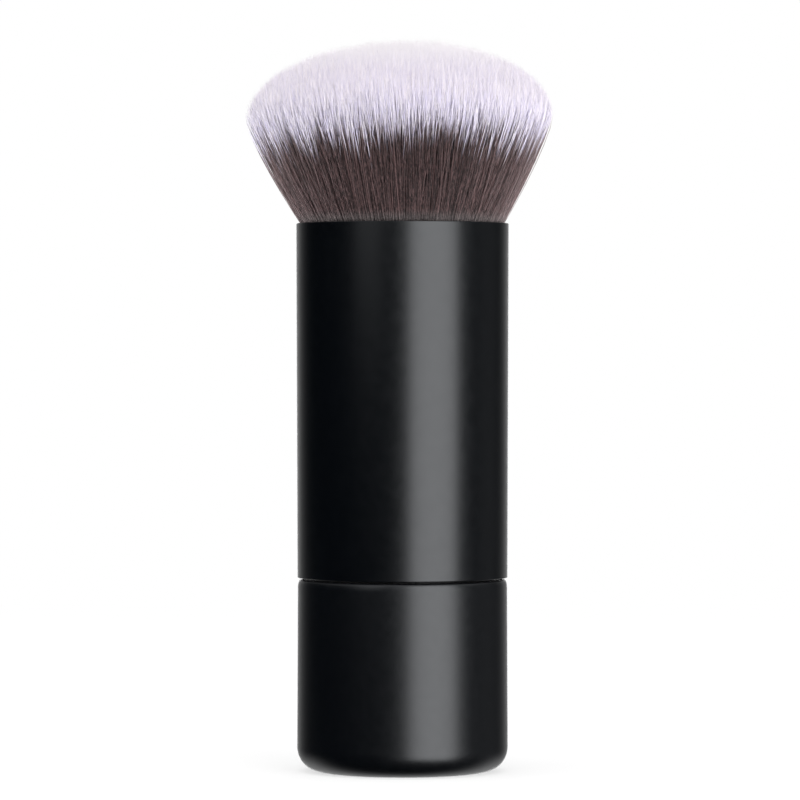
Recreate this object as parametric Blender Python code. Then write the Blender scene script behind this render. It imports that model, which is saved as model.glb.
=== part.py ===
"""Foundation brush: a dense two-tone tuft in a tapered tube handle that stands in a push-fit base cap.

Metres, +Z up. The origin is the centre of the underside, and the whole brush is turned about Z.
The handle pulls straight up out of the base cap.
"""
import math

import bmesh
import bpy

# Counts and fits shared by all pieces
OUTER_SIDES = 64
INNER_SIDES = 48
ARC_STEPS = 5
SMOOTH_ANGLE = math.radians(35)
MERGE_DISTANCE = 1e-7
CLEARANCE = 0.0003

# Handle sleeve, a thin tube that narrows from its rim to its lower edge
SLEEVE_LENGTH = 0.0500
SLEEVE_RIM_RADIUS = 0.0150
SLEEVE_TAPER = 0.00017
SLEEVE_WALL = 0.0004
SLEEVE_EDGE_BREAK = 0.00012

# Base cap shell, whose mouth lies just inside the sleeve's edge and which widens towards its foot
CAP_HEIGHT = 0.0270
CAP_MOUTH_INSET = 0.00005
CAP_SWELL = 0.00010
CAP_WALL = 0.0007
CAP_FLOOR = 0.0010
CAP_FOOT_REACH = 0.0032
CAP_FOOT_RISE = 0.0035
CAP_LIP_RISE = 0.0012
CAP_LIP_SETBACK = 0.00035

# Base weight, a disc on the shell's flat floor
WEIGHT_THICKNESS = 0.0045
WEIGHT_CHAMFER = 0.0005

# Base cap liner, whose socket takes the spigot
LINER_WALL = 0.0010
LINER_FLOOR = 0.0012
SOCKET_DEPTH = 0.0125
LINER_RIB_COUNT = 6
LINER_RIB = 0.0010

# Handle core, with the spigot below its shoulder plate
CORE_PLATE = 0.0015
CORE_POST_RADIUS = 0.0022
CORE_RIB_COUNT = 6
CORE_RIB = 0.0011
CORE_RIB_SETBACK = 0.0002
CORE_CHAMFER = 0.0004
SPIGOT_PLAY = 0.0005
SPIGOT_WALL = 0.0020
SPIGOT_RIB_RECESS = 0.0010

# Grip ring in the spigot's groove
GRIP_SECTION = 0.0012
GRIP_DROP = 0.0030
GRIP_STEPS = 8

# Tuft cup, and what is potted in it
CUP_RECESS = 0.0016
CUP_DEPTH = 0.0090
CUP_WALL = 0.0004
CUP_CORNER = 0.0010
RESIN_THICKNESS = 0.0030

# Thread band round the tuft's foot
BAND_HEIGHT = 0.0015
BAND_THICKNESS = 0.0008
BAND_DROP = 0.0026

# Tuft: strands that spread to a shoulder and end on an elliptical dome
SHOULDER_HEIGHT = 0.0150
DOME_RADIUS = 0.02175
DOME_RISE = 0.0110
FLARE_EXPONENT = 1.3
STRAND_RINGS = 8
SECTORS = 6
SWIRL_ANGLE = math.radians(14)
STRAND_LEVEL_SHARES = (0.45, 0.86)
STRAND_THICKNESS_SHARES = (0.84, 0.78)

# Heights in the cap, from the underside
WEIGHT_Z = CAP_FLOOR + CLEARANCE
LINER_RIB_Z = WEIGHT_Z + WEIGHT_THICKNESS + CLEARANCE
LINER_SKIRT_Z = CAP_FOOT_RISE + CLEARANCE
SOCKET_FLOOR_Z = CAP_HEIGHT - SOCKET_DEPTH
HANDLE_Z = CAP_HEIGHT + CLEARANCE

# Heights in the handle, from the sleeve's lower edge
SPIGOT_END_Z = SOCKET_FLOOR_Z + CLEARANCE - HANDLE_Z
CUP_LIP_Z = SLEEVE_LENGTH - CUP_RECESS
CUP_Z = CUP_LIP_Z - CUP_DEPTH
CORE_TOP_Z = CUP_Z - CLEARANCE
RESIN_Z = CUP_Z + CUP_WALL + CLEARANCE
FOOT_Z = RESIN_Z + RESIN_THICKNESS + CLEARANCE

# Radii that follow from the fits
SLEEVE_LOW_RADIUS = SLEEVE_RIM_RADIUS - SLEEVE_TAPER
CAP_MOUTH_RADIUS = SLEEVE_LOW_RADIUS - CAP_MOUTH_INSET
CAP_WIDE_RADIUS = CAP_MOUTH_RADIUS + CAP_SWELL
INSERT_RADIUS = SLEEVE_LOW_RADIUS - SLEEVE_WALL - CLEARANCE
TUFT_RADIUS = INSERT_RADIUS - CUP_WALL - CLEARANCE
BAND_INNER_RADIUS = TUFT_RADIUS - BAND_THICKNESS
WAIST_RADIUS = BAND_INNER_RADIUS - CLEARANCE
LINER_RADIUS = CAP_MOUTH_RADIUS - CAP_WALL - CLEARANCE
SOCKET_RADIUS = LINER_RADIUS - LINER_WALL
SPIGOT_RADIUS = SOCKET_RADIUS - SPIGOT_PLAY
SPIGOT_BORE_RADIUS = SPIGOT_RADIUS - SPIGOT_WALL
GRIP_OUTER_RADIUS = SOCKET_RADIUS - CLEARANCE
GRIP_GROOVE_RADIUS = GRIP_OUTER_RADIUS - GRIP_SECTION - CLEARANCE
CAP_FLAT_RADIUS = CAP_WIDE_RADIUS - CAP_FOOT_REACH
WEIGHT_RADIUS = CAP_FLAT_RADIUS - CLEARANCE
SHOULDER_Z = CUP_RECESS + SHOULDER_HEIGHT


def clear_scene():
    """Remove every object that the scene holds."""
    for existing in list(bpy.data.objects):
        bpy.data.objects.remove(existing, do_unlink=True)


def surface(name, colour, roughness, metallic=0.0):
    """Principled material with one colour."""
    material = bpy.data.materials.new(name)
    material.use_nodes = True
    shader = material.node_tree.nodes["Principled BSDF"]
    shader.inputs["Base Color"].default_value = (*colour, 1.0)
    shader.inputs["Roughness"].default_value = roughness
    shader.inputs["Metallic"].default_value = metallic
    material.diffuse_color = (*colour, 1.0)
    return material


def frame(name, height, parent=None):
    """Empty on the axis that a body's pieces hang from."""
    empty = bpy.data.objects.new(name, None)
    empty.location.z = height
    empty.parent = parent
    bpy.context.collection.objects.link(empty)
    return empty


def place(name, shape, materials, parent, height=0.0):
    """Close the bmesh into a smooth-shaded object on the axis, at a height above its parent."""
    bmesh.ops.recalc_face_normals(shape, faces=shape.faces)
    mesh = bpy.data.meshes.new(name)
    shape.to_mesh(mesh)
    shape.free()
    mesh.shade_smooth()
    mesh.set_sharp_from_angle(angle=SMOOTH_ANGLE)
    for material in materials:
        mesh.materials.append(material)
    piece = bpy.data.objects.new(name, mesh)
    piece.location.z = height
    piece.parent = parent
    bpy.context.collection.objects.link(piece)
    return piece


def corner(centre_r, centre_z, reach_r, reach_z, start, end):
    """Points of an elliptical arc in the (r, z) plane, from one angle in degrees to another."""
    points = []
    for step in range(ARC_STEPS + 1):
        angle = math.radians(start + (end - start) * step / ARC_STEPS)
        points.append((centre_r + reach_r * math.cos(angle), centre_z + reach_z * math.sin(angle)))
    return points


def turned(outline, sides):
    """Turn an (r, z) outline about Z. One that starts on the axis is open, any other is a loop."""
    shape = bmesh.new()
    points = [shape.verts.new((r, 0, z)) for r, z in outline]
    pairs = list(zip(points, points[1:]))
    if outline[0][0] > 0:
        pairs.append((points[-1], points[0]))
    edges = [shape.edges.new(pair) for pair in pairs]
    bmesh.ops.spin(
        shape, geom=points + edges, cent=(0, 0, 0), axis=(0, 0, 1), angle=math.tau, steps=sides
    )
    bmesh.ops.remove_doubles(shape, verts=shape.verts, dist=MERGE_DISTANCE)
    return shape


def rib_star(count, reach, thickness, low, high):
    """Prism with a star outline: ribs that meet on the axis."""
    half_step = math.pi / count
    half_rib = thickness / 2
    outline = []
    for rib in range(count):
        along = rib * math.tau / count
        for side in (-half_rib, half_rib):
            x = reach * math.cos(along) - side * math.sin(along)
            y = reach * math.sin(along) + side * math.cos(along)
            outline.append((x, y))
        inner = half_rib / math.sin(half_step)
        outline.append((inner * math.cos(along + half_step), inner * math.sin(along + half_step)))
    shape = bmesh.new()
    base = shape.faces.new([shape.verts.new((x, y, low)) for x, y in outline])
    raised = bmesh.ops.extrude_face_region(shape, geom=[base])["geom"]
    lifted = [part for part in raised if isinstance(part, bmesh.types.BMVert)]
    bmesh.ops.translate(shape, verts=lifted, vec=(0, 0, high - low))
    return shape


def unite(piece, name, shape):
    """Join a guide shape to a piece with a Boolean union."""
    guide = place(name, shape, [], piece.parent, piece.location.z)
    guide.hide_render = True
    guide.display_type = "WIRE"
    union = piece.modifiers.new(name, "BOOLEAN")
    union.operation = "UNION"
    union.solver = "EXACT"
    union.object = guide


def cap_shell(parent, material):
    """Shell with a rounded foot, a flat floor and a softly set back lip."""
    lip_z = CAP_HEIGHT - CAP_LIP_RISE
    lip_r = CAP_MOUTH_RADIUS - CAP_LIP_SETBACK
    inner_reach = CAP_FOOT_REACH - CAP_WALL
    inner_rise = CAP_FOOT_RISE - CAP_FLOOR
    outline = [(0, 0)]
    outline += corner(CAP_FLAT_RADIUS, CAP_FOOT_RISE, CAP_FOOT_REACH, CAP_FOOT_RISE, -90, 0)
    outline += corner(lip_r, lip_z, CAP_LIP_SETBACK, CAP_LIP_RISE, 0, 90)
    outline.append((CAP_MOUTH_RADIUS - CAP_WALL, CAP_HEIGHT))
    outline += corner(CAP_FLAT_RADIUS, CAP_FOOT_RISE, inner_reach, inner_rise, 0, -90)
    outline.append((0, CAP_FLOOR))
    return place("base_cap_shell", turned(outline, OUTER_SIDES), [material], parent)


def base_weight(parent, material):
    """Disc with chamfered edges."""
    inner = WEIGHT_RADIUS - WEIGHT_CHAMFER
    outline = [
        (0, 0),
        (inner, 0),
        (WEIGHT_RADIUS, WEIGHT_CHAMFER),
        (WEIGHT_RADIUS, WEIGHT_THICKNESS - WEIGHT_CHAMFER),
        (inner, WEIGHT_THICKNESS),
        (0, WEIGHT_THICKNESS),
    ]
    return place("base_weight", turned(outline, INNER_SIDES), [material], parent, WEIGHT_Z)


def cap_liner(parent, material):
    """Liner with a socket above its floor, and ribs below it that bear on the weight."""
    below_floor = SOCKET_FLOOR_Z - LINER_FLOOR
    outline = [
        (0, SOCKET_FLOOR_Z),
        (SOCKET_RADIUS, SOCKET_FLOOR_Z),
        (SOCKET_RADIUS, CAP_HEIGHT),
        (LINER_RADIUS, CAP_HEIGHT),
        (LINER_RADIUS, LINER_SKIRT_Z),
        (SOCKET_RADIUS, LINER_SKIRT_Z),
        (SOCKET_RADIUS, below_floor),
        (0, below_floor),
    ]
    liner = place("base_cap_liner", turned(outline, INNER_SIDES), [material], parent)
    reach = SOCKET_RADIUS + LINER_WALL / 2
    rib_top = below_floor + LINER_FLOOR / 2
    unite(liner, "liner_ribs", rib_star(LINER_RIB_COUNT, reach, LINER_RIB, LINER_RIB_Z, rib_top))
    return liner


def handle_sleeve(parent, material):
    """Tapered tube with the same wall all the way and broken edges."""
    rim_bore = SLEEVE_RIM_RADIUS - SLEEVE_WALL
    low_bore = SLEEVE_LOW_RADIUS - SLEEVE_WALL
    edge = SLEEVE_EDGE_BREAK
    outline = [
        (SLEEVE_LOW_RADIUS - edge, 0),
        (SLEEVE_LOW_RADIUS, edge),
        (SLEEVE_RIM_RADIUS, SLEEVE_LENGTH - edge),
        (SLEEVE_RIM_RADIUS - edge, SLEEVE_LENGTH),
        (rim_bore + edge, SLEEVE_LENGTH),
        (rim_bore, SLEEVE_LENGTH - edge),
        (low_bore, edge),
        (low_bore + edge, 0),
    ]
    return place("handle_sleeve", turned(outline, OUTER_SIDES), [material], parent)


def handle_core(parent, material):
    """Post between two plates, with the grooved spigot below, stiffened by ribs in both halves."""
    groove_top = -GRIP_DROP + GRIP_SECTION / 2 + CLEARANCE
    groove_low = -GRIP_DROP - GRIP_SECTION / 2 - CLEARANCE
    post_end = SPIGOT_END_Z + 2 * SPIGOT_RIB_RECESS
    outline = [
        (0, CORE_TOP_Z),
        (INSERT_RADIUS - CORE_CHAMFER, CORE_TOP_Z),
        (INSERT_RADIUS, CORE_TOP_Z - CORE_CHAMFER),
        (INSERT_RADIUS, CORE_TOP_Z - CORE_PLATE),
        (CORE_POST_RADIUS, CORE_TOP_Z - CORE_PLATE),
        (CORE_POST_RADIUS, CORE_PLATE),
        (INSERT_RADIUS, CORE_PLATE),
        (INSERT_RADIUS, 0),
        (SPIGOT_RADIUS, 0),
        (SPIGOT_RADIUS, groove_top),
        (GRIP_GROOVE_RADIUS, groove_top),
        (GRIP_GROOVE_RADIUS, groove_low),
        (SPIGOT_RADIUS, groove_low),
        (SPIGOT_RADIUS, SPIGOT_END_Z + CORE_CHAMFER),
        (SPIGOT_RADIUS - CORE_CHAMFER, SPIGOT_END_Z),
        (SPIGOT_BORE_RADIUS, SPIGOT_END_Z),
        (SPIGOT_BORE_RADIUS, 0),
        (CORE_POST_RADIUS, 0),
        (CORE_POST_RADIUS, post_end),
        (0, post_end),
    ]
    core = place("handle_core", turned(outline, INNER_SIDES), [material], parent)
    inside_plate = CORE_PLATE / 2
    upper_reach = INSERT_RADIUS - CORE_RIB_SETBACK
    lower_reach = (SPIGOT_BORE_RADIUS + GRIP_GROOVE_RADIUS) / 2
    upper = rib_star(CORE_RIB_COUNT, upper_reach, CORE_RIB, inside_plate, CORE_TOP_Z - inside_plate)
    unite(core, "sleeve_ribs", upper)
    rib_end = SPIGOT_END_Z + SPIGOT_RIB_RECESS
    lower = rib_star(CORE_RIB_COUNT, lower_reach, CORE_RIB, rib_end, inside_plate / 2)
    unite(core, "spigot_ribs", lower)
    return core


def grip_ring(parent, material):
    """Round-section ring."""
    section_radius = GRIP_SECTION / 2
    centre = GRIP_OUTER_RADIUS - section_radius
    outline = []
    for step in range(GRIP_STEPS):
        angle = -step * math.tau / GRIP_STEPS
        r = centre + section_radius * math.cos(angle)
        outline.append((r, section_radius * math.sin(angle)))
    return place("grip_ring", turned(outline, INNER_SIDES), [material], parent, -GRIP_DROP)


def tuft_cup(parent, material):
    """Drawn cup, open at the top."""
    bore = INSERT_RADIUS - CUP_WALL
    outer_corner = INSERT_RADIUS - CUP_CORNER
    inner_corner = CUP_CORNER - CUP_WALL
    outline = [(0, 0)]
    outline += corner(outer_corner, CUP_CORNER, CUP_CORNER, CUP_CORNER, -90, 0)
    outline += [(INSERT_RADIUS, CUP_DEPTH), (bore, CUP_DEPTH)]
    outline += corner(outer_corner, CUP_CORNER, inner_corner, inner_corner, 0, -90)
    outline.append((0, CUP_WALL))
    return place("tuft_cup", turned(outline, INNER_SIDES), [material], parent, CUP_Z)


def resin_plug(parent, material):
    """Disc that follows the cup's corner."""
    chamfer = CUP_CORNER - CUP_WALL
    outline = [
        (0, 0),
        (TUFT_RADIUS - chamfer, 0),
        (TUFT_RADIUS, chamfer),
        (TUFT_RADIUS, RESIN_THICKNESS),
        (0, RESIN_THICKNESS),
    ]
    return place("root_resin_plug", turned(outline, INNER_SIDES), [material], parent, RESIN_Z)


def root_binding(parent, material):
    """Flat band in the waist of the tuft's foot."""
    half = BAND_HEIGHT / 2
    outline = [
        (TUFT_RADIUS, half),
        (BAND_INNER_RADIUS, half),
        (BAND_INNER_RADIUS, -half),
        (TUFT_RADIUS, -half),
    ]
    height = CUP_LIP_Z - BAND_DROP
    return place("root_binding", turned(outline, INNER_SIDES), [material], parent, height)


def flare(height):
    """Radius of the tuft's outside at a height above the strands' roots."""
    climb = min(height / SHOULDER_Z, 1.0)
    return TUFT_RADIUS + (DOME_RADIUS - TUFT_RADIUS) * (1 - (1 - climb) ** FLARE_EXPONENT)


def root_lattice(shape):
    """Vertices of rings whose counts grow by one per sector, and the triangles between them.

    The rings are swirled, so that no straight row of gaps runs through the tuft.
    """
    rings = [[shape.verts.new((0, 0, 0))]]
    for ring in range(1, STRAND_RINGS + 1):
        radius = TUFT_RADIUS * ring / STRAND_RINGS
        swirl = SWIRL_ANGLE * ring / STRAND_RINGS
        count = SECTORS * ring
        angles = [swirl + math.tau * step / count for step in range(count)]
        rings.append([shape.verts.new((radius * math.cos(a), radius * math.sin(a), 0)) for a in angles])
    triangles = []
    for ring in range(1, STRAND_RINGS + 1):
        outer = rings[ring]
        inner = rings[ring - 1]
        for sector in range(SECTORS):
            for step in range(ring):
                near = inner[(sector * (ring - 1) + step) % len(inner)]
                first = outer[sector * ring + step]
                second = outer[(sector * ring + step + 1) % len(outer)]
                triangles.append((near, first, second))
                if step < ring - 1:
                    beside = inner[(sector * (ring - 1) + step + 1) % len(inner)]
                    triangles.append((near, second, beside))
    return rings[-1], triangles


def grow_strand(shape, roots, tip_slot):
    """Three-sided strand from a root triangle, which spreads with the tuft and ends in a point.

    Every strand is spread by the same rule at the same height, so none crosses another.
    """
    x = sum(root.co.x for root in roots) / len(roots)
    y = sum(root.co.y for root in roots) / len(roots)
    out_share = math.hypot(x, y) / TUFT_RADIUS
    length = SHOULDER_Z + DOME_RISE * math.sqrt(1 - out_share**2)
    below = list(roots)
    for level, thickness in zip(STRAND_LEVEL_SHARES, STRAND_THICKNESS_SHARES):
        height = level * length
        spread = flare(height) / TUFT_RADIUS
        above = []
        for root in roots:
            at_x = spread * (x + (root.co.x - x) * thickness)
            at_y = spread * (y + (root.co.y - y) * thickness)
            above.append(shape.verts.new((at_x, at_y, height)))
        for side in range(len(roots)):
            after = (side + 1) % len(roots)
            shape.faces.new((below[side], below[after], above[after], above[side]))
        below = above
    spread = flare(length) / TUFT_RADIUS
    tip = shape.verts.new((spread * x, spread * y, length))
    for side in range(len(roots)):
        face = shape.faces.new((below[side], below[(side + 1) % len(roots)], tip))
        face.material_index = tip_slot


def bristle_tuft(parent, materials):
    """Strands fused to the bound foot that stands in the cup, with a waist for the thread band."""
    shape = bmesh.new()
    rim, triangles = root_lattice(shape)
    for roots in triangles:
        grow_strand(shape, roots, tip_slot=1)
    waist_half = BAND_HEIGHT / 2 + CLEARANCE
    foot_drop = CUP_LIP_Z - FOOT_Z
    side_outline = [
        (TUFT_RADIUS, waist_half - BAND_DROP),
        (WAIST_RADIUS, waist_half - BAND_DROP),
        (WAIST_RADIUS, -waist_half - BAND_DROP),
        (TUFT_RADIUS, -waist_half - BAND_DROP),
        (TUFT_RADIUS, -foot_drop),
    ]
    above = rim
    for radius, z in side_outline:
        scale = radius / TUFT_RADIUS
        below = [shape.verts.new((vert.co.x * scale, vert.co.y * scale, z)) for vert in rim]
        for side in range(len(rim)):
            after = (side + 1) % len(rim)
            shape.faces.new((above[side], above[after], below[after], below[side]))
        above = below
    shape.faces.new(above)
    return place("bristle_tuft", shape, materials, parent, CUP_LIP_Z)


def build():
    """Model the brush: the base cap's pieces on one frame, the handle's on another."""
    clear_scene()
    cap = frame("base_cap_frame", 0)
    handle = frame("handle_frame", HANDLE_Z, cap)

    cap_shell(cap, surface("soft_touch_black", (0.012, 0.013, 0.015), 0.48))
    base_weight(cap, surface("plated_steel", (0.46, 0.46, 0.47), 0.35, 1.0))
    cap_liner(cap, surface("liner_grey", (0.10, 0.10, 0.11), 0.5))

    handle_sleeve(handle, surface("satin_black", (0.011, 0.012, 0.014), 0.36, 0.3))
    handle_core(handle, surface("core_black", (0.02, 0.02, 0.022), 0.5))
    grip_ring(handle, surface("grip_rubber", (0.015, 0.015, 0.015), 0.7))
    tuft_cup(handle, surface("cup_aluminium", (0.70, 0.70, 0.71), 0.3, 1.0))
    resin_plug(handle, surface("amber_resin", (0.42, 0.30, 0.13), 0.25))
    root_binding(handle, surface("binding_thread", (0.60, 0.56, 0.48), 0.8))
    fibres = [
        surface("fibre_brown", (0.075, 0.050, 0.050), 0.5),
        surface("fibre_white", (0.80, 0.76, 0.84), 0.5),
    ]
    bristle_tuft(handle, fibres)


build()
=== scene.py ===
"""Looks of the foundation brush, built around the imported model.

Fine two-tone fibres, a satin black handle, a soft-touch base cap, and a plain white studio.
All is in metres with +Z up, in the same frame as the model.
"""
import math

import bmesh
import bpy
import numpy as np
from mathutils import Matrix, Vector


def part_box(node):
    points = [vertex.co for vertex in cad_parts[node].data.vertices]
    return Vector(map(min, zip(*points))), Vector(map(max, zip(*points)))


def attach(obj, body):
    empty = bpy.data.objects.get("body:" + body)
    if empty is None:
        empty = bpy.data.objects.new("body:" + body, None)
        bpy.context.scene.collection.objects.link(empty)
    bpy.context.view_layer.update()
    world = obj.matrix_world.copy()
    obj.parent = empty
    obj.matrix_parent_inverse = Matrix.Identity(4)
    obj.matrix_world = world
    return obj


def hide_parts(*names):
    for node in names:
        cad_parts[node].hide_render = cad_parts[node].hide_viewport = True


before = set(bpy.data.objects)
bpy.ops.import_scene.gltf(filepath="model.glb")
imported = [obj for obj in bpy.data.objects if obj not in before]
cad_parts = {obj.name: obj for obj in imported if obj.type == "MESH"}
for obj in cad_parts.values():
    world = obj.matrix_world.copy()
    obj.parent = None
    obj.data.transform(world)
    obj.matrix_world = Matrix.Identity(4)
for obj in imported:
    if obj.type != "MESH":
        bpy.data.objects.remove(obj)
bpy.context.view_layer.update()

# Sleeve and base cap
SLEEVE_TAPER = 0.00017
SLEEVE_WALL = 0.0004
SLEEVE_EDGE_ROUND = 0.00012
CAP_SWELL = 0.00010
CAP_WALL = 0.0007
CAP_FLOOR = 0.0010
CAP_FOOT_REACH = 0.0032
CAP_FOOT_RISE = 0.0035
CAP_LIP_RISE = 0.0012
CAP_LIP_SETBACK = 0.00035
CLEARANCE = 0.0003

# Pieces of the push fit, which show when the handle is pulled
CORE_PLATE = 0.0015
CORE_POST_RADIUS = 0.0022
CORE_RIB = 0.0011
CORE_RIB_SETBACK = 0.0002
CORE_ROUND = 0.0004
SPIGOT_PLAY = 0.0005
SPIGOT_WALL = 0.0020
SPIGOT_RIB_RECESS = 0.0010
GROOVE_ROUND = 0.00015
LINER_WALL = 0.0010
LINER_FLOOR = 0.0012
LINER_RIB = 0.0010
LINER_ROUND = 0.0002
SOCKET_DEPTH = 0.0125
RIB_COUNT = 6

# Turned meshes: sides around the axis, steps of the arcs in their outlines, and the angle from
# which an edge is sharp
TURNED_SIDES = 192
FOOT_STEPS = 20
INNER_FOOT_STEPS = 10
LIP_STEPS = 10
EDGE_STEPS = 5
SMALL_EDGE_STEPS = 4
RING_SECTION_SIDES = 24
SHARP_ANGLE = math.radians(40)

# Form of the tuft
CUP_RECESS = 0.0016
WAIST_DEPTH = 0.0011
SHOULDER_HEIGHT = 0.0150
DOME_RADIUS = 0.02190
DOME_RISE = 0.01095
DOME_TILT_SHARE = 0.030
FLARE_EXPONENT = 1.26
CORE_FLARE_EXPONENT = 1.08
HEAD_LEAN = 0.0006

# Fibres
SEED = 28
FIBRE_COUNT = 56000
FIBRE_PIECES = 12
FIBRE_RADIUS = 0.000052
FIBRE_RING_SHARES = (0.0, 0.2, 0.4, 0.58, 0.74, 0.88, 1.0)
FIBRE_SIDES = 3
FIBRE_TAPER_SHARE = 0.68
FIBRE_TAPER_EXPONENT = 1.3
FIBRE_TIP_SHARE = 0.45

# The fibres' normals follow the head as a whole by this share. Its flare has this angle, and no
# normal is divided by less than the least length.
HEAD_SHADE_SHARE = 0.6
HEAD_FLARE_ANGLE = math.radians(25)
LEAST_LENGTH = 1e-6

# Clumps and locks that the fibres gather in, the points that are searched for at a time, and how
# far roots, clumps, locks and tips are moved, as shares of the head's radius
CLUMP_COUNT = 3600
LOCK_COUNT = 260
NEAREST_BLOCK = 2000
ROOT_JITTER_SHARE = 0.004
CLUMP_JITTER_SHARE = 0.006
LOCK_JITTER_SHARE = 0.02
CLUMP_PULL_SHARE = 0.40
LOCK_STRAY_SHARE = 0.028
CLUMP_STRAY_SHARE = 0.020
FIBRE_STRAY_SHARE = 0.052
STRAY_EXPONENT = 1.4

# How the fibres' lengths differ, and how far they bend
LOCK_LIFT = 0.00012
CLUMP_LIFT = 0.00018
FIBRE_SHORTFALL = 0.00040
BEND_INSIDE = 0.00020
BEND_OUTSIDE = 0.00006
BEND_EXPONENT = 4

# UV map of the fibres
MAP_COLUMNS = 256
MAP_MARGIN_SHARE = 0.08
MAP_ROOT_ROW = 0.04

# Tone of a fibre, from 0 for dark to 1 for pale
TONE_MEAN = 0.32
TONE_SPREAD = 0.13
STREAK_SHARE = 0.11
STREAK_TONE_LOW = 0.5
STREAK_TONE_HIGH = 0.95

# Change of tone along a fibre: the noise's scale, detail and stretch, and the least and most change
STREAK_CHANGE = (4500, 1.0, (1, 1, 0.10), -0.55, 0.55)
# The gleam change sets where the white fibres show painted shade or painted light.
GLEAM_CHANGE = (2400, 2.0, (1, 1, 0.09), -1.15, 1.25)
CHANGE_NOISE_RANGE = (0.25, 0.75)

# Where the fibres turn white, above the rim
DYE_HEIGHT = 0.01175
DYE_OVAL = 0.00070
DYE_LEAN = 0.00060
DYE_SPREAD = 0.00138
DYE_CLUMP_SPREAD = 0.00025
DYE_LOCK_SPREAD = 0.00035
DYE_FADE_LOW = -0.0018
DYE_FADE_HIGH = 0.0020

# Colours and finish of the fibres
BROWN_DARK = (0.005, 0.002, 0.002)
BROWN_LIGHT = (0.116, 0.060, 0.060)
# Painted light: near the rim the fibres' roots take a lighter, greyer brown that stands in for
# light where they lie in shade, fading out at the height set below.
RIM_DARK = (0.040, 0.036, 0.037)
RIM_LIGHT = (0.170, 0.152, 0.148)
RIM_PAINTED_LIGHT_HEIGHT = 0.0018
# WHITE_DARK is a bluish-lilac painted shade and WHITE_LIGHT a pinkish painted light; the white
# fibres mix them at random along their length, together with their own tone.
WHITE_DARK = (0.80, 0.75, 0.88)
WHITE_LIGHT = (0.98, 0.92, 0.97)
# Painted light: the white turns paler towards the top of the dome, over the depth set below.
WHITE_CROWN = (0.99, 0.955, 0.99)
CROWN_DEPTH = 0.0055
# Painted shade: a darker lilac just above where the fibres turn white, fading out at the height set
# below.
LILAC_DARK = (0.77, 0.725, 0.945)
LILAC_LIGHT = (0.93, 0.885, 0.985)
LILAC_SHADE_HEIGHT = 0.0070
FIBRE_ROUGHNESS_DARK = 0.42
FIBRE_ROUGHNESS_PALE = 0.58
FIBRE_SPECULAR = 0.35
SHEEN_TINT = (1.0, 0.80, 0.81)
SHEEN_ROUGHNESS = 0.52
SHEEN_ON_WHITE = 0.1
SHEEN_ON_DARK = 0.62

# Finishes of the smooth pieces and of the CAD nodes that stay as they are
WHITE = (1, 1, 1)
COOL = (0.95, 0.97, 1.0)
PLAIN_FINISH = {"specular": 0.5, "tint": WHITE, "metallic": 0.0, "stretch": (1, 1, 1)}
FINISHES = {
    "satin_black": {
        "dark": (0.0003, 0.0008, 0.0016), "light": (0.0006, 0.0013, 0.0024),
        "roughness": 0.31, "grain": 4000, "depth": 0.000003, "specular": 0.87, "tint": COOL,
    },
    "soft_touch_black": {
        "dark": (0.0004, 0.0009, 0.0018), "light": (0.0010, 0.0016, 0.0028),
        "roughness": 0.34, "grain": 6000, "depth": 0.000006, "specular": 0.91, "tint": COOL,
    },
    "core_plastic": {
        "dark": (0.016, 0.016, 0.018), "light": (0.026, 0.026, 0.028),
        "roughness": 0.45, "grain": 2500, "depth": 0.00002,
    },
    "ring_rubber": {
        "dark": (0.010, 0.010, 0.010), "light": (0.020, 0.020, 0.020),
        "roughness": 0.70, "grain": 3000, "depth": 0.00002,
    },
    "liner_plastic": {
        "dark": (0.085, 0.085, 0.092), "light": (0.110, 0.110, 0.118),
        "roughness": 0.42, "grain": 2500, "depth": 0.00001,
    },
    "weight_steel": {
        "dark": (0.42, 0.42, 0.43), "light": (0.54, 0.54, 0.55),
        "roughness": 0.33, "grain": 1500, "depth": 0.00001, "metallic": 1.0,
    },
    "cup_metal": {
        "dark": (0.66, 0.66, 0.67), "light": (0.74, 0.74, 0.75),
        "roughness": 0.30, "grain": 1500, "depth": 0.000005, "metallic": 1.0,
    },
    "resin": {
        "dark": (0.36, 0.25, 0.10), "light": (0.46, 0.33, 0.15),
        "roughness": 0.22, "grain": 900, "depth": 0.00001,
    },
    "thread": {
        "dark": (0.50, 0.46, 0.38), "light": (0.66, 0.62, 0.54),
        "roughness": 0.80, "grain": 1800, "depth": 0.00004, "stretch": (1, 1, 6),
    },
}
CAD_FINISHES = {
    "base_weight": "weight_steel",
    "tuft_cup": "cup_metal",
    "root_resin_plug": "resin",
    "root_binding": "thread",
}
GRAIN_STRENGTH = 0.35
GRAIN_DETAIL = 2.0
MOTTLE_COARSENESS = 6
MOTTLE_DETAIL = 3.0
MOTTLE_RANGE = (0.3, 0.7)
MOTTLE_ROUGHNESS = 0.02

# Floor
FLOOR_HALF = 6.0
FLOOR_SEGMENTS = 4
FLOOR_COLOUR = (0.60, 0.60, 0.60)
FLOOR_SHADE = (0.30, 0.30, 0.30)
FLOOR_GLOW = 0.66
FLOOR_NEAR = 0.10
FLOOR_FAR = 0.45

# World: fill light from the front and rear, what gloss sees, and where each of these sets in
FILL_FRONT = 0.66
FILL_REAR = 1.10
FILL_RANGE = (-0.3, 0.6)
GLOSS_ROOM = 0.001
GLOSS_FALLOFF = 8.0
GLOSS_CEILING = 0.45
GLOSS_CEILING_RISE = (0.30, 0.75)
GLOSS_GROUND = 0.90
GLOSS_GROUND_RISE = (-0.15, -0.60)
GLOSS_GROUND_AHEAD = (0.15, 0.85)

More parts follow.
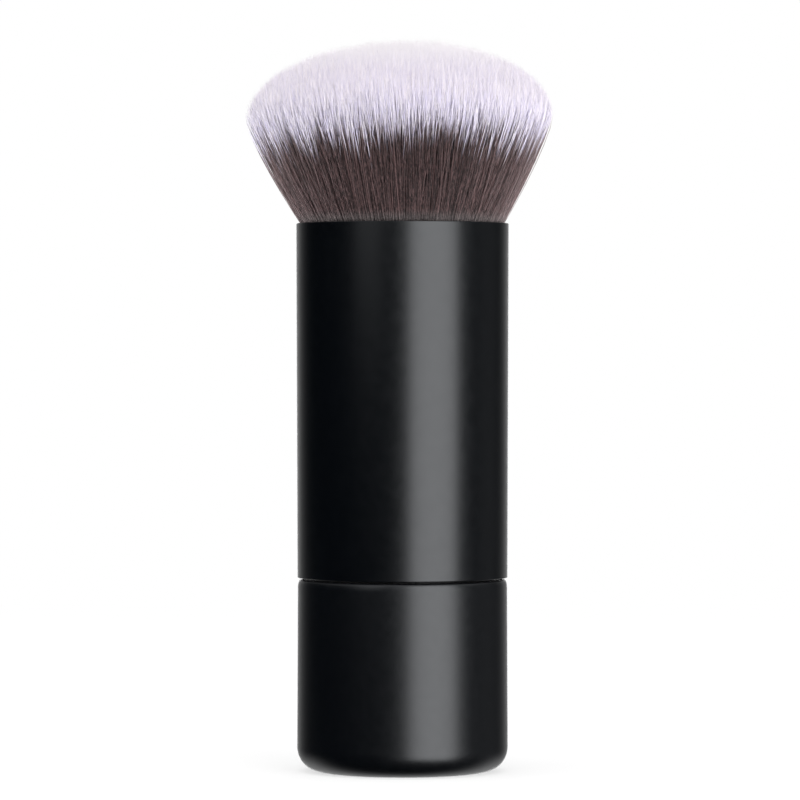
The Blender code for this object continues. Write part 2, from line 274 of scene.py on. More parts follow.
# Lamps: azimuth, distance, height, width, tallness, radiance, height aimed at, and whether gloss
# shows them. The azimuth is in degrees from the camera's side towards +X.
LAMPS = {
    "key_softbox": (34.4, 1.0, 0.10, 0.98, 1.40, 2.6, 0.05, True),
    "left_card": (-38, 0.8, 0.42, 0.45, 0.50, 0.5, 0.05, True),
    "right_card": (105, 0.9, 0.20, 0.50, 1.20, 0.10, 0.05, True),
    "left_low": (-82, 0.22, 0.01, 0.20, 0.08, 3.1, 0.085, False),
    "right_low": (96, 0.22, 0.01, 0.20, 0.08, 3.1, 0.082, False),
    "rear_strip": (180, 1.0, 0.20, 0.40, 1.20, 2.2, 0.05, True),
    "left_fill": (-75, 1.0, 0.25, 0.80, 1.00, 1.9, 0.05, False),
    "top_fill": (0, 0.38, 1.0, 0.80, 0.80, 1.75, 0.05, False),
}

# Camera, from the photograph's perspective
CAMERA_DISTANCE = 0.684
CAMERA_HEIGHT = 0.0587
CAMERA_X = -0.00035
CAMERA_PITCH = math.radians(0.53)
CAMERA_LENS = 217.9
CAMERA_SENSOR = 36.0
CAMERA_NEAREST = 0.05
CAMERA_FARTHEST = 20.0

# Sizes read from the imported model
SLEEVE_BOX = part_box("handle_sleeve")
CAP_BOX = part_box("base_cap_shell")
BAND_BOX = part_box("root_binding")
CORE_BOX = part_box("handle_core")
RING_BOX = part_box("grip_ring")
LINER_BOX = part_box("base_cap_liner")
FOOT_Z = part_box("root_resin_plug")[1][2] + CLEARANCE
SEAM_Z = SLEEVE_BOX[0][2]
RIM_Z = SLEEVE_BOX[1][2]
RIM_RADIUS = SLEEVE_BOX[1][0]
CAP_TOP_Z = CAP_BOX[1][2]
CAP_WIDE_RADIUS = CAP_BOX[1][0]
ROOT_Z = RIM_Z - CUP_RECESS
SHOULDER_Z = RIM_Z + SHOULDER_HEIGHT
CROWN_Z = SHOULDER_Z + DOME_RISE
TUFT_ROOT_RADIUS = BAND_BOX[1][0]
INSERT_RADIUS = CORE_BOX[1][0]
LINER_RADIUS = LINER_BOX[1][0]
SOCKET_RADIUS = LINER_RADIUS - LINER_WALL
SPIGOT_RADIUS = SOCKET_RADIUS - SPIGOT_PLAY
SPIGOT_BORE_RADIUS = SPIGOT_RADIUS - SPIGOT_WALL
RING_RADIUS = RING_BOX[1][0]
RING_SECTION = RING_BOX[1][2] - RING_BOX[0][2]
GROOVE_RADIUS = RING_RADIUS - RING_SECTION - CLEARANCE


class Nodes:
    """Short way to lay out one node tree. A value that is another node's socket is linked."""

    def __init__(self, tree):
        self.tree = tree
        tree.nodes.clear()

    def put(self, socket, value):
        """Gives a socket its value, or links it to another."""
        if isinstance(value, bpy.types.NodeSocket):
            self.tree.links.new(value, socket)
        else:
            socket.default_value = value

    def add(self, kind, values=None, **settings):
        """New node with its settings and socket values."""
        node = self.tree.nodes.new(kind)
        for key, value in settings.items():
            setattr(node, key, value)
        for key, value in (values or {}).items():
            self.put(node.inputs[key], value)
        return node

    def attribute(self, name):
        """Value that the mesh's vertices carry under a name."""
        return self.add("ShaderNodeAttribute", attribute_name=name).outputs["Fac"]

    def part(self, vector, axis):
        """One coordinate of a vector."""
        return self.add("ShaderNodeSeparateXYZ", {"Vector": vector}).outputs[axis]

    def length(self, vector):
        """Length of a vector."""
        return self.add("ShaderNodeVectorMath", {0: vector}, operation="LENGTH").outputs["Value"]

    def maths(self, operation, first, second, clamp=False):
        """Result of an operation on two values."""
        values = {0: first, 1: second}
        node = self.add("ShaderNodeMath", values, operation=operation, use_clamp=clamp)
        return node.outputs["Value"]

    def noise(self, scale, detail, stretch):
        """Noise in object coordinates, finer along the axes with a larger stretch."""
        place = self.add("ShaderNodeTexCoord").outputs["Object"]
        scaled = self.add("ShaderNodeMapping", {"Vector": place, "Scale": stretch})
        values = {"Vector": scaled.outputs["Vector"], "Scale": scale, "Detail": detail}
        return self.add("ShaderNodeTexNoise", values).outputs["Fac"]

    def spread(self, value, low, high, start=0.0, end=1.0):
        """Value carried from the start..end range to low..high."""
        values = {"Value": value, "From Min": start, "From Max": end, "To Min": low, "To Max": high}
        return self.add("ShaderNodeMapRange", values).outputs["Result"]

    def smooth_step(self, value, start, end):
        """0 to 1 as a value goes from start to end, softly."""
        values = {"Value": value, "From Min": start, "From Max": end}
        node = self.add("ShaderNodeMapRange", values, interpolation_type="SMOOTHSTEP")
        return node.outputs["Result"]

    def blend(self, factor, first, second):
        """Mix of two values by a factor."""
        return self.add("ShaderNodeMix", {0: factor, 2: first, 3: second}).outputs[0]

    def blend_colours(self, factor, first, second):
        """Mix of two colours by a factor."""
        node = self.add("ShaderNodeMix", {0: factor}, data_type="RGBA")
        for name, colour in (("A", first), ("B", second)):
            socket = next(s for s in node.inputs if s.name == name and s.type == "RGBA")
            self.put(socket, rgba(colour) if isinstance(colour, tuple) else colour)
        return next(s for s in node.outputs if s.type == "RGBA")

    def matt(self, colour):
        """Plain matt surface."""
        return self.add("ShaderNodeBsdfDiffuse", {"Color": rgba(colour)}).outputs[0]

    def glow(self, strength):
        """White surface that gives its own light."""
        values = {"Color": rgba(WHITE), "Strength": strength}
        return self.add("ShaderNodeEmission", values).outputs[0]

    def blend_surfaces(self, factor, first, second):
        """Mix of two surfaces by a factor."""
        return self.add("ShaderNodeMixShader", {"Fac": factor, 1: first, 2: second}).outputs[0]

    def seen_directly(self, path):
        """1 for rays from the eye, also through glass, and 0 for all others."""
        return self.maths(
            "MAXIMUM", path.outputs["Is Camera Ray"], path.outputs["Is Transmission Ray"]
        )


def rgba(colour):
    """Colour with full alpha."""
    return (*colour, 1.0)


def principled(name, build):
    """Material whose build function returns the Principled shader's socket values."""
    material = bpy.data.materials.new(name)
    material.use_nodes = True
    nodes = Nodes(material.node_tree)
    shader = nodes.add("ShaderNodeBsdfPrincipled", build(nodes))
    nodes.add("ShaderNodeOutputMaterial", {"Surface": shader.outputs["BSDF"]})
    return material


def finish(name):
    """Material from the table, with fine mottling in colour and roughness, and a shallow grain."""
    look = {**PLAIN_FINISH, **FINISHES[name]}
    roughness = look["roughness"]

    def build(nodes):
        mottle = nodes.noise(look["grain"] / MOTTLE_COARSENESS, MOTTLE_DETAIL, look["stretch"])
        grain = nodes.noise(look["grain"], GRAIN_DETAIL, look["stretch"])
        relief = {"Height": grain, "Strength": GRAIN_STRENGTH, "Distance": look["depth"]}
        return {
            "Base Color": nodes.blend_colours(mottle, look["dark"], look["light"]),
            "Roughness": nodes.spread(
                mottle, roughness - MOTTLE_ROUGHNESS, roughness + MOTTLE_ROUGHNESS, *MOTTLE_RANGE
            ),
            "Normal": nodes.add("ShaderNodeBump", relief).outputs["Normal"],
            "Specular IOR Level": look["specular"],
            "Specular Tint": rgba(look["tint"]),
            "Metallic": look["metallic"],
        }

    return principled(name, build)


def varied(nodes, tone, scale, detail, stretch, least, most):
    """Tone that noise changes along the fibre, kept within 0 to 1."""
    change = nodes.spread(nodes.noise(scale, detail, stretch), least, most, *CHANGE_NOISE_RANGE)
    return nodes.maths("ADD", tone, change, clamp=True)


def fibre_material():
    """Brown-mauve fibre that turns white at its own height, each strand in its own tone."""

    def build(nodes):
        height = nodes.part(nodes.add("ShaderNodeTexCoord").outputs["Object"], "Z")
        above_dye = nodes.maths("SUBTRACT", height, nodes.attribute("dye_height"))
        tone = varied(nodes, nodes.attribute("tone"), *STREAK_CHANGE)
        pale = varied(nodes, tone, *GLEAM_CHANGE)

        brown = nodes.blend_colours(tone, BROWN_DARK, BROWN_LIGHT)
        # Painted light near the rim: a lighter, greyer brown over the roots where they lie in
        # shade.
        rim_painted_light = nodes.blend_colours(tone, RIM_DARK, RIM_LIGHT)
        rim_share = nodes.smooth_step(height, RIM_Z + RIM_PAINTED_LIGHT_HEIGHT, RIM_Z)
        lower = nodes.blend_colours(rim_share, brown, rim_painted_light)

        # Random mix along each fibre of a bluish-lilac painted shade and a pinkish painted light.
        white = nodes.blend_colours(pale, WHITE_DARK, WHITE_LIGHT)
        # Painted light: paler white towards the crown of the dome.
        crown_light_share = nodes.smooth_step(height, CROWN_Z - CROWN_DEPTH, CROWN_Z)
        white = nodes.blend_colours(crown_light_share, white, WHITE_CROWN)
        # Painted shade: darker lilac just above where the fibres turn white.
        lilac = nodes.blend_colours(pale, LILAC_DARK, LILAC_LIGHT)
        lilac_shade_share = nodes.smooth_step(above_dye, LILAC_SHADE_HEIGHT, 0.0)
        upper = nodes.blend_colours(lilac_shade_share, white, lilac)

        white_share = nodes.smooth_step(above_dye, DYE_FADE_LOW, DYE_FADE_HIGH)
        return {
            "Base Color": nodes.blend_colours(white_share, lower, upper),
            "Roughness": nodes.spread(tone, FIBRE_ROUGHNESS_DARK, FIBRE_ROUGHNESS_PALE),
            "Specular IOR Level": FIBRE_SPECULAR,
            "Sheen Weight": nodes.maths(
                "MULTIPLY",
                nodes.spread(white_share, 1.0, SHEEN_ON_WHITE),
                nodes.spread(tone, SHEEN_ON_DARK, 1.0),
            ),
            "Sheen Roughness": SHEEN_ROUGHNESS,
            "Sheen Tint": rgba(SHEEN_TINT),
        }

    return principled("bristle_fibre", build)


def finish_cad_nodes():
    """Materials of the CAD nodes that stay as they are."""
    for node, name in CAD_FINISHES.items():
        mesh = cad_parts[node].data
        mesh.materials.clear()
        mesh.materials.append(finish(name))


def add_object(name, data):
    """New object in the scene."""
    item = bpy.data.objects.new(name, data)
    bpy.context.collection.objects.link(item)
    return item


def add_piece(mesh, material, body, slot_name, *nodes):
    """Object on a body that stands for CAD nodes."""
    mesh.materials.append(material)
    piece = add_object(mesh.name, mesh)
    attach(piece, body)
    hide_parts(*nodes)


def oval_arc(centre_r, centre_z, reach_r, reach_z, start, end, steps):
    """Points of an elliptical arc in the (r, z) plane, from one angle in degrees to another."""
    angles = np.radians(np.linspace(start, end, steps + 1))
    return [(centre_r + reach_r * math.cos(a), centre_z + reach_z * math.sin(a)) for a in angles]


def arc(centre_r, centre_z, reach, start, end, steps):
    """Points of a circular arc in the (r, z) plane."""
    return oval_arc(centre_r, centre_z, reach, reach, start, end, steps)


def add_ribs(shape, reach, thickness, low, high):
    """Ribs that meet on the axis, as one prism with a star outline."""
    half_step = math.pi / RIB_COUNT
    half_rib = thickness / 2
    inner = half_rib / math.sin(half_step)
    outline = []
    for rib in range(RIB_COUNT):
        along = rib * math.tau / RIB_COUNT
        for side in (-half_rib, half_rib):
            x = reach * math.cos(along) - side * math.sin(along)
            y = reach * math.sin(along) + side * math.cos(along)
            outline.append((x, y))
        between = along + half_step
        outline.append((inner * math.cos(between), inner * math.sin(between)))
    bottom, top = ([shape.verts.new((x, y, z)) for x, y in outline] for z in (low, high))
    shape.faces.new(bottom)
    shape.faces.new(top)
    for side in range(len(outline)):
        shape.faces.new((bottom[side - 1], bottom[side], top[side], top[side - 1]))


def turned(name, outline, closed=False, ribs=()):
    """Smooth mesh of an (r, z) outline turned about Z. A rib is (reach, thickness, low, high)."""
    shape = bmesh.new()
    on_axis = {z: shape.verts.new((0, 0, z)) for r, z in outline if r == 0}
    rings = []
    for side in range(TURNED_SIDES):
        angle = side * math.tau / TURNED_SIDES
        x, y = math.cos(angle), math.sin(angle)
        rings.append(
            [shape.verts.new((r * x, r * y, z)) if r else on_axis[z] for r, z in outline]
        )
    first = 0 if closed else 1
    for side, ring in enumerate(rings):
        before = rings[side - 1]
        for step in range(first, len(outline)):
            corners = (before[step - 1], ring[step - 1], ring[step], before[step])
            shape.faces.new(list(dict.fromkeys(corners)))
    for rib in ribs:
        add_ribs(shape, *rib)
    bmesh.ops.recalc_face_normals(shape, faces=shape.faces)
    mesh = bpy.data.meshes.new(name)
    shape.to_mesh(mesh)
    shape.free()
    mesh.shade_smooth()
    mesh.set_sharp_from_angle(angle=SHARP_ANGLE)
    return mesh


def sleeve_piece():
    """Tapered tube with small rounded edges."""
    low = RIM_RADIUS - SLEEVE_TAPER
    e = SLEEVE_EDGE_ROUND
    outline = arc(low - e, SEAM_Z + e, e, -90, 0, EDGE_STEPS)
    outline += arc(RIM_RADIUS - e, RIM_Z - e, e, 0, 90, EDGE_STEPS)
    outline += arc(RIM_RADIUS - SLEEVE_WALL + e, RIM_Z - e, e, 90, 180, EDGE_STEPS)
    outline += arc(low - SLEEVE_WALL + e, SEAM_Z + e, e, 180, 270, EDGE_STEPS)
    mesh = turned("sleeve_tube", outline, closed=True)
    add_piece(mesh, finish("satin_black"), "handle", "satin_black", "handle_sleeve")


def cap_piece():
    """Shell with a rounded foot and a softly set back lip."""
    mouth = CAP_WIDE_RADIUS - CAP_SWELL
    flat = CAP_WIDE_RADIUS - CAP_FOOT_REACH
    foot = (CAP_FOOT_REACH, CAP_FOOT_RISE)
    inner_foot = (CAP_FOOT_REACH - CAP_WALL, CAP_FOOT_RISE - CAP_FLOOR)
    lip = (CAP_LIP_SETBACK, CAP_LIP_RISE)
    outline = [(0, 0)]
    outline += oval_arc(flat, CAP_FOOT_RISE, *foot, -90, 0, FOOT_STEPS)
    outline += oval_arc(mouth - CAP_LIP_SETBACK, CAP_TOP_Z - CAP_LIP_RISE, *lip, 0, 90, LIP_STEPS)
    outline.append((mouth - CAP_WALL, CAP_TOP_Z))
    outline += oval_arc(flat, CAP_FOOT_RISE, *inner_foot, 0, -90, INNER_FOOT_STEPS)
    outline.append((0, CAP_FLOOR))
    mesh = turned("base_cap_body", outline)
    add_piece(mesh, finish("soft_touch_black"), "base_cap", "soft_touch_black", "base_cap_shell")


def core_piece():
    """Post between two plates, with the grooved spigot below and ribs in both halves."""
    spigot_end, top = CORE_BOX[0][2], CORE_BOX[1][2]
    shoulder = SEAM_Z + CORE_PLATE
    groove_low, groove_top = RING_BOX[0][2] - CLEARANCE, RING_BOX[1][2] + CLEARANCE
    post_end = spigot_end + 2 * SPIGOT_RIB_RECESS
    e = GROOVE_ROUND
    big = CORE_ROUND
    outline = [(0, top)]
    outline += arc(INSERT_RADIUS - big, top - big, big, 90, 0, EDGE_STEPS)
    outline += [(INSERT_RADIUS, top - CORE_PLATE), (CORE_POST_RADIUS, top - CORE_PLATE)]
    outline += [(CORE_POST_RADIUS, shoulder), (INSERT_RADIUS, shoulder)]
    outline += [(INSERT_RADIUS, SEAM_Z), (SPIGOT_RADIUS, SEAM_Z)]
    outline += arc(SPIGOT_RADIUS - e, groove_top + e, e, 0, -90, SMALL_EDGE_STEPS)
    outline += [(GROOVE_RADIUS, groove_top), (GROOVE_RADIUS, groove_low)]
    outline += arc(SPIGOT_RADIUS - e, groove_low - e, e, 90, 0, SMALL_EDGE_STEPS)
    outline += arc(SPIGOT_RADIUS - big, spigot_end + big, big, 0, -90, EDGE_STEPS)
    outline += arc(SPIGOT_BORE_RADIUS + e, spigot_end + e, e, 270, 180, SMALL_EDGE_STEPS)
    outline += [(SPIGOT_BORE_RADIUS, SEAM_Z), (CORE_POST_RADIUS, SEAM_Z)]
    outline += [(CORE_POST_RADIUS, post_end), (0, post_end)]
    half_plate = CORE_PLATE / 2
    upper_reach = INSERT_RADIUS - CORE_RIB_SETBACK
    lower_reach = (SPIGOT_BORE_RADIUS + GROOVE_RADIUS) / 2
    ribs = (
        (upper_reach, CORE_RIB, SEAM_Z + half_plate, top - half_plate),
        (lower_reach, CORE_RIB, spigot_end + SPIGOT_RIB_RECESS, SEAM_Z + half_plate / 2),
    )
    mesh = turned("core_moulding", outline, ribs=ribs)
    add_piece(mesh, finish("core_plastic"), "handle", "core_black", "handle_core")


def ring_piece():
    """Rubber ring with a round section."""
    half = RING_SECTION / 2
    steps = RING_SECTION_SIDES - 1
    last = 360 * steps / RING_SECTION_SIDES
    outline = arc(RING_RADIUS - half, RING_BOX[0][2] + half, half, 0, last, steps)
    mesh = turned("ring_rubber", outline, closed=True)
    add_piece(mesh, finish("ring_rubber"), "handle", "grip_rubber", "grip_ring")


def liner_piece():
    """Liner with a socket above its floor and ribs below it."""
    mouth, skirt = LINER_BOX[1][2], CAP_FOOT_RISE + CLEARANCE
    socket_floor = mouth - SOCKET_DEPTH
    below_floor = socket_floor - LINER_FLOOR
    e = LINER_ROUND
    outline = [(0, socket_floor)]
    outline += arc(SOCKET_RADIUS - e, socket_floor + e, e, -90, 0, SMALL_EDGE_STEPS)
    outline += arc(SOCKET_RADIUS + e, mouth - e, e, 180, 90, SMALL_EDGE_STEPS)
    outline += arc(LINER_RADIUS - e, mouth - e, e, 90, 0, SMALL_EDGE_STEPS)
    outline += [(LINER_RADIUS, skirt), (SOCKET_RADIUS, skirt)]
    outline += [(SOCKET_RADIUS, below_floor), (0, below_floor)]
    rib_reach = SOCKET_RADIUS + LINER_WALL / 2
    ribs = [(rib_reach, LINER_RIB, LINER_BOX[0][2], below_floor + LINER_FLOOR / 2)]
    mesh = turned("liner_moulding", outline, ribs=ribs)
    add_piece(mesh, finish("liner_plastic"), "base_cap", "liner_grey", "base_cap_liner")


def tuft_foot(material):
    """Bound foot of the bundle, with the waist that the thread band lies in."""
    waist = TUFT_ROOT_RADIUS - WAIST_DEPTH
    band_low, band_high = BAND_BOX[0][2] - CLEARANCE, BAND_BOX[1][2] + CLEARANCE
    outline = [(0, FOOT_Z), (TUFT_ROOT_RADIUS, FOOT_Z)]
    outline += [(TUFT_ROOT_RADIUS, band_low), (waist, band_low)]
    outline += [(waist, band_high), (TUFT_ROOT_RADIUS, band_high)]
    outline += [(TUFT_ROOT_RADIUS, ROOT_Z), (0, ROOT_Z)]
    add_piece(turned("tuft_foot", outline), material, "handle", "bristle_fibre", "bristle_tuft")


def disc_points(count):
    """Evenly spread points of the unit disc, as a sunflower's seeds lie."""
    index = np.arange(count)
    radius = np.sqrt((index + 0.5) / count)
    angle = index * math.pi * (3 - math.sqrt(5))
    return np.stack([radius * np.cos(angle), radius * np.sin(angle)], axis=1)


def nearest(points, centres):
    """Index of each point's nearest centre."""
    found = np.empty(len(points), dtype=int)
    for start in range(0, len(points), NEAREST_BLOCK):
        block = points[start:start + NEAREST_BLOCK]
        gaps = ((block[:, None, :] - centres[None, :, :]) ** 2).sum(axis=2)
        found[start:start + NEAREST_BLOCK] = gaps.argmin(axis=1)
    return found


def fibre_ends(rng):
    """Root and tip of every fibre in the unit disc, and the clump and lock that it belongs to."""
    roots = disc_points(FIBRE_COUNT)
    roots = roots + rng.normal(0, ROOT_JITTER_SHARE, roots.shape)
    roots = roots / np.maximum(np.hypot(roots[:, 0], roots[:, 1]), 1.0)[:, None]
    clumps = disc_points(CLUMP_COUNT) + rng.normal(0, CLUMP_JITTER_SHARE, (CLUMP_COUNT, 2))
    locks = disc_points(LOCK_COUNT) + rng.normal(0, LOCK_JITTER_SHARE, (LOCK_COUNT, 2))
    clump = nearest(roots, clumps)
    lock = nearest(clumps, locks)[clump]
    pull = rng.uniform(0.0, CLUMP_PULL_SHARE, CLUMP_COUNT)[clump][:, None]
    tips = roots + (clumps[clump] - roots) * pull
    tips = tips + rng.normal(0, LOCK_STRAY_SHARE, (LOCK_COUNT, 2))[lock]
    tips = tips + rng.normal(0, CLUMP_STRAY_SHARE, (CLUMP_COUNT, 2))[clump]
    tips = tips + rng.normal(0, FIBRE_STRAY_SHARE, roots.shape)
    strayed = np.hypot(tips[:, 0], tips[:, 1])
    reach = np.where(strayed > 1, 2 - strayed, strayed)
    return roots, tips * (reach / strayed)[:, None], reach, clump, lock


def fibre_paths(rng):
    """Centre line of every fibre, as (fibre, ring, xyz), and its clump and lock."""
    roots, tips, reach, clump, lock = fibre_ends(rng)
    lift = rng.normal(0, CLUMP_LIFT, CLUMP_COUNT)[clump]
    lift = lift + rng.normal(0, LOCK_LIFT, LOCK_COUNT)[lock]
    lift = lift - rng.exponential(FIBRE_SHORTFALL, FIBRE_COUNT)
    lift = lift + DOME_TILT_SHARE * DOME_RADIUS * tips[:, 0]
    full = CUP_RECESS + SHOULDER_HEIGHT + DOME_RISE * np.sqrt(1 - reach**2)

    shares = np.array(FIBRE_RING_SHARES)[None, :]
    height = (full + lift)[:, None] * shares
    climbed = np.clip(height / full[:, None], 0, 1)
    more_flare = (FLARE_EXPONENT - CORE_FLARE_EXPONENT) * reach[:, None] ** 2
    opened = 1 - (1 - climbed) ** (CORE_FLARE_EXPONENT + more_flare)
    radius = TUFT_ROOT_RADIUS + (DOME_RADIUS - TUFT_ROOT_RADIUS) * opened
    strayed = shares[:, :, None] ** STRAY_EXPONENT
    plan = roots[:, None, :] + (tips - roots)[:, None, :] * strayed
    sway = BEND_INSIDE + (BEND_OUTSIDE - BEND_INSIDE) * reach**BEND_EXPONENT
    bend = sway[:, None, None] * rng.normal(0, 1, (FIBRE_COUNT, 1, 2))
    flat = plan * radius[:, :, None] + bend * np.sin(shares * math.pi)[:, :, None]
    flat[:, :, 0] -= HEAD_LEAN * shares
    return np.concatenate([flat, (ROOT_Z + height)[:, :, None]], axis=2), clump, lock


def head_normals(places):
    """Outward direction of the head as a whole at each place: up the flare, then over the dome."""
    rise = np.clip(places[..., 2] - SHOULDER_Z, 0, None) / DOME_RISE**2
    side = places[..., :2] / DOME_RADIUS**2
    down = -np.tan(HEAD_FLARE_ANGLE) * np.hypot(side[..., 0], side[..., 1])
    upward = np.where(places[..., 2] < SHOULDER_Z, down, rise)
    normal = np.concatenate([side, upward[..., None]], axis=-1)
    return normal / np.maximum(np.linalg.norm(normal, axis=-1, keepdims=True), LEAST_LENGTH)


def fibre_verts(paths, turn):
    """Vertices of the tapered, pointed fibres, each in its own turn, and their normals."""
    count = len(paths)
    shares = np.array(FIBRE_RING_SHARES)
    rings = len(shares) - 1
    past = np.clip((shares - FIBRE_TAPER_SHARE) / (1 - FIBRE_TAPER_SHARE), 0, 1)
    taper = 1 - (1 - FIBRE_TIP_SHARE) * past**FIBRE_TAPER_EXPONENT
    angle = turn[:, None] + (np.arange(FIBRE_SIDES) * math.tau / FIBRE_SIDES)[None, :]
    across = np.stack([np.cos(angle), np.sin(angle), np.zeros_like(angle)], axis=2)
    around = across[:, None, :, :] * (FIBRE_RADIUS * taper[:rings])[None, :, None, None]
    body = paths[:, :rings, None, :] + around
    verts = np.concatenate([body.reshape(count, -1, 3), paths[:, rings:, :]], axis=1)

    own = np.repeat(across[:, None, :, :], rings, axis=1).reshape(count, -1, 3)
    own = np.concatenate([own, np.tile([[[0.0, 0.0, 1.0]]], (count, 1, 1))], axis=1)
    normals = HEAD_SHADE_SHARE * head_normals(verts) + (1 - HEAD_SHADE_SHARE) * own
    return verts, normals / np.linalg.norm(normals, axis=2, keepdims=True)


def strand_faces():
    """Faces of one fibre, and how far across and along its map each of their corners lies."""
    shares = FIBRE_RING_SHARES
    faces, columns, rows = [], [], []
    for ring in range(len(shares) - 2):
        low, high = ring * FIBRE_SIDES, (ring + 1) * FIBRE_SIDES
        for side in range(FIBRE_SIDES):
            after = (side + 1) % FIBRE_SIDES
            faces.append((low + side, low + after, high + after, high + side))
            columns.append((0, 1, 1, 0))
            rows.append((shares[ring], shares[ring], shares[ring + 1], shares[ring + 1]))
    tip = (len(shares) - 1) * FIBRE_SIDES
    top = tip - FIBRE_SIDES
    for side in range(FIBRE_SIDES):
        faces.append((top + side, top + (side + 1) % FIBRE_SIDES, tip))
        columns.append((0, 1, 0.5))
        rows.append((shares[-2], shares[-2], 1.0))
    faces.append(tuple(reversed(range(FIBRE_SIDES))))
    columns.append((0, 1, 0.5))
    rows.append((0.0, 0.0, MAP_ROOT_ROW))
    return faces, np.concatenate(columns), np.concatenate(rows)


def add_strand_map(mesh, count, columns, rows):
    """UV map that gives each fibre its own narrow column, root below and tip above."""
    bands = math.ceil(count / MAP_COLUMNS)
    index = np.arange(count)[:, None]
    inner = 1 - 2 * MAP_MARGIN_SHARE
    u = (index % MAP_COLUMNS + MAP_MARGIN_SHARE + inner * columns) / MAP_COLUMNS
    v = (index // MAP_COLUMNS + MAP_MARGIN_SHARE + inner * rows) / bands
    layer = mesh.uv_layers.new(name="OFBake")
    layer.uv.foreach_set("vector", np.stack([u, v], axis=2).reshape(-1).astype(np.float32))


def fibre_mesh(name, paths, dye, tone, turn):
    """One mesh of many fibres, which carry their dye heights and tones."""
    verts, normals = fibre_verts(paths, turn)
    faces, columns, rows = strand_faces()
    count, per_strand = verts.shape[:2]
    corners = np.concatenate(faces)
    loops = (np.arange(count)[:, None] * per_strand + corners).ravel()
    sizes = np.tile([len(face) for face in faces], count)
    starts = np.concatenate([[0], np.cumsum(sizes)[:-1]])

    mesh = bpy.data.meshes.new(name)
    mesh.vertices.add(count * per_strand)
    mesh.vertices.foreach_set("co", verts.reshape(-1).astype(np.float32))
    mesh.loops.add(len(loops))
    mesh.loops.foreach_set("vertex_index", loops.astype(np.int32))
    mesh.polygons.add(len(sizes))
    mesh.polygons.foreach_set("loop_start", starts.astype(np.int32))
    mesh.update(calc_edges=True)
    for attribute, values in (("dye_height", dye), ("tone", tone)):
        layer = mesh.attributes.new(attribute, "FLOAT", "POINT")
        layer.data.foreach_set("value", np.repeat(values, per_strand).astype(np.float32))
    add_strand_map(mesh, count, columns, rows)
    mesh.shade_smooth()
    mesh.normals_split_custom_set_from_vertices(normals.reshape(-1, 3))
    return mesh


def fibre_pieces(material):
    """The whole tuft above its foot, as equal sectors that together stand for the CAD tuft."""
    rng = np.random.default_rng(SEED)
    paths, clump, lock = fibre_paths(rng)
    x, y = paths[:, -1, 0], paths[:, -1, 1]
    streaks = rng.random(FIBRE_COUNT) < STREAK_SHARE
    tone = np.clip(rng.normal(TONE_MEAN, TONE_SPREAD, FIBRE_COUNT), 0, 1)
    streak_tone = rng.uniform(STREAK_TONE_LOW, STREAK_TONE_HIGH, FIBRE_COUNT)
    tone = np.where(streaks, streak_tone, tone)
    front = np.arctan2(x, -y)
    dye = RIM_Z + DYE_HEIGHT + DYE_OVAL * np.cos(2 * front) + DYE_LEAN * np.sin(front)
    dye = dye + rng.normal(0, DYE_LOCK_SPREAD, LOCK_COUNT)[lock]
    dye = dye + rng.normal(0, DYE_CLUMP_SPREAD, CLUMP_COUNT)[clump]
    dye = dye + rng.normal(0, DYE_SPREAD, FIBRE_COUNT)
    turn = rng.uniform(0, math.tau, FIBRE_COUNT)
    sectors = np.array_split(np.argsort(np.arctan2(y, x)), FIBRE_PIECES)
    for number, chosen in enumerate(sectors, start=1):
        own = (values[chosen] for values in (paths, dye, tone, turn))
        mesh = fibre_mesh(f"tuft_fibres_{number}", *own)
        add_piece(mesh, material, "handle", "bristle_fibre", "bristle_tuft")


def floor():
    """Pale floor that shows white to the eye and keeps the object's shadow."""
    material = bpy.data.materials.new("floor_white")
    material.use_nodes = True
    nodes = Nodes(material.node_tree)
    apart = nodes.length(nodes.add("ShaderNodeTexCoord").outputs["Object"])
    far_share = nodes.smooth_step(apart, FLOOR_NEAR, FLOOR_FAR)
    near_parts = {0: nodes.matt(FLOOR_SHADE), 1: nodes.glow(FLOOR_GLOW)}
    near = nodes.add("ShaderNodeAddShader", near_parts).outputs[0]
    seen = nodes.blend_surfaces(far_share, near, nodes.glow(1.0))
    direct = nodes.seen_directly(nodes.add("ShaderNodeLightPath"))
    surface = nodes.blend_surfaces(direct, nodes.matt(FLOOR_COLOUR), seen)
    nodes.add("ShaderNodeOutputMaterial", {"Surface": surface})

    mesh = bpy.data.meshes.new("floor")
    shape = bmesh.new()
    bmesh.ops.create_grid(
        shape, x_segments=FLOOR_SEGMENTS, y_segments=FLOOR_SEGMENTS, size=FLOOR_HALF
    )
    shape.to_mesh(mesh)
    shape.free()
    mesh.materials.append(material)
    piece = add_object("floor", mesh)
    piece.visible_glossy = False
    piece.visible_shadow = False


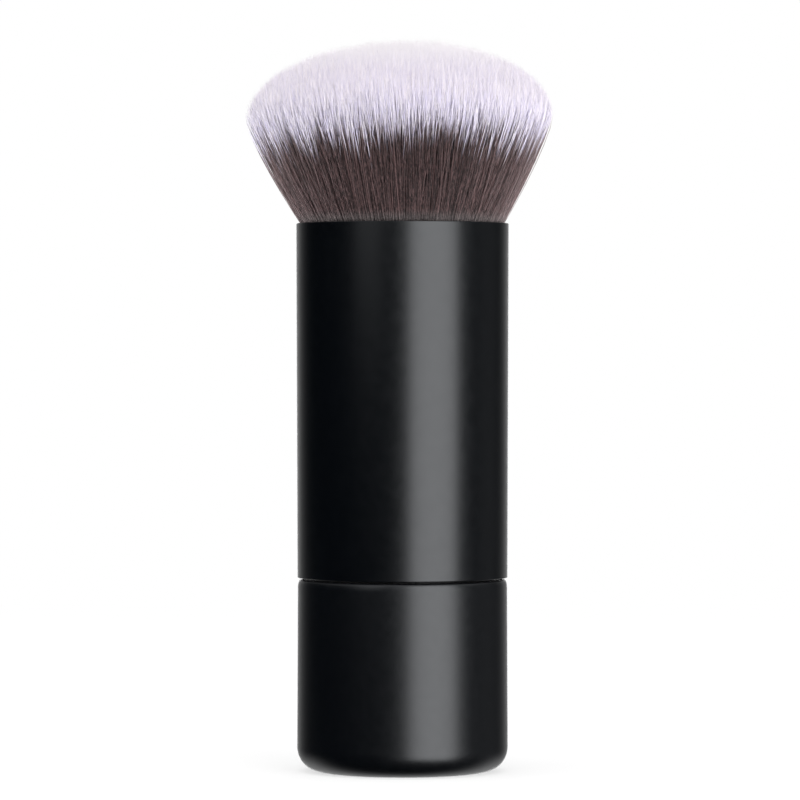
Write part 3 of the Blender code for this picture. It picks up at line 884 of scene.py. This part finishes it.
def studio_world():
    """White to the eye. Gloss sees white straight behind the object, which falls off to a dim room,
    a grey ceiling and a pale ground. All else gets a soft fill light."""
    world = bpy.data.worlds.new("studio")
    bpy.context.scene.world = world
    world.use_nodes = True
    nodes = Nodes(world.node_tree)
    path = nodes.add("ShaderNodeLightPath")
    direction = nodes.add("ShaderNodeTexCoord").outputs["Generated"]
    ahead = nodes.part(direction, "Y")
    rise = nodes.part(direction, "Z")
    behind = nodes.maths("DIVIDE", ahead, nodes.length(direction), clamp=True)
    gloss = nodes.spread(nodes.maths("POWER", behind, GLOSS_FALLOFF), GLOSS_ROOM, 1.0)
    gloss = nodes.blend(nodes.smooth_step(rise, *GLOSS_CEILING_RISE), gloss, GLOSS_CEILING)
    ground_share = nodes.maths(
        "MULTIPLY",
        nodes.smooth_step(rise, *GLOSS_GROUND_RISE),
        nodes.smooth_step(ahead, *GLOSS_GROUND_AHEAD),
    )
    gloss = nodes.blend(ground_share, gloss, GLOSS_GROUND)
    fill = nodes.spread(ahead, FILL_FRONT, FILL_REAR, *FILL_RANGE)
    lit = nodes.blend(path.outputs["Is Diffuse Ray"], gloss, fill)
    strength = nodes.blend(nodes.seen_directly(path), lit, 1.0)
    background = nodes.add("ShaderNodeBackground", {"Color": rgba(WHITE), "Strength": strength})
    nodes.add("ShaderNodeOutputWorld", {"Surface": background.outputs[0]})


def softbox(name, azimuth, distance, height, width, tall, radiance, aim_z, glossy):
    """Rectangular area lamp that the camera doesn't see."""
    lamp = bpy.data.lights.new(name, "AREA")
    lamp.shape = "RECTANGLE"
    lamp.size = width
    lamp.size_y = tall
    lamp.energy = radiance * math.pi * width * tall
    holder = add_object(name, lamp)
    a = math.radians(azimuth)
    holder.location = (distance * math.sin(a), -distance * math.cos(a), height)
    aim = Vector((0, 0, aim_z)) - holder.location
    holder.rotation_euler = aim.to_track_quat("-Z", "Y").to_euler()
    holder.visible_camera = False
    holder.visible_glossy = glossy


def camera():
    """Camera at the photograph's viewing angle."""
    data = bpy.data.cameras.new("camera")
    data.lens = CAMERA_LENS
    data.sensor_width = CAMERA_SENSOR
    data.clip_start = CAMERA_NEAREST
    data.clip_end = CAMERA_FARTHEST
    holder = add_object("camera", data)
    holder.location = (CAMERA_X, -CAMERA_DISTANCE, CAMERA_HEIGHT)
    holder.rotation_euler = (math.radians(90) - CAMERA_PITCH, 0, 0)
    bpy.context.scene.camera = holder


bpy.context.scene.view_settings.view_transform = "Standard"
camera()
floor()
studio_world()
for lamp_name, lamp_values in LAMPS.items():
    softbox(lamp_name, *lamp_values)

sleeve_piece()
cap_piece()
core_piece()
ring_piece()
liner_piece()
fibre_look = fibre_material()
fibre_pieces(fibre_look)
tuft_foot(fibre_look)
finish_cad_nodes()

bpy.context.view_layer.update()
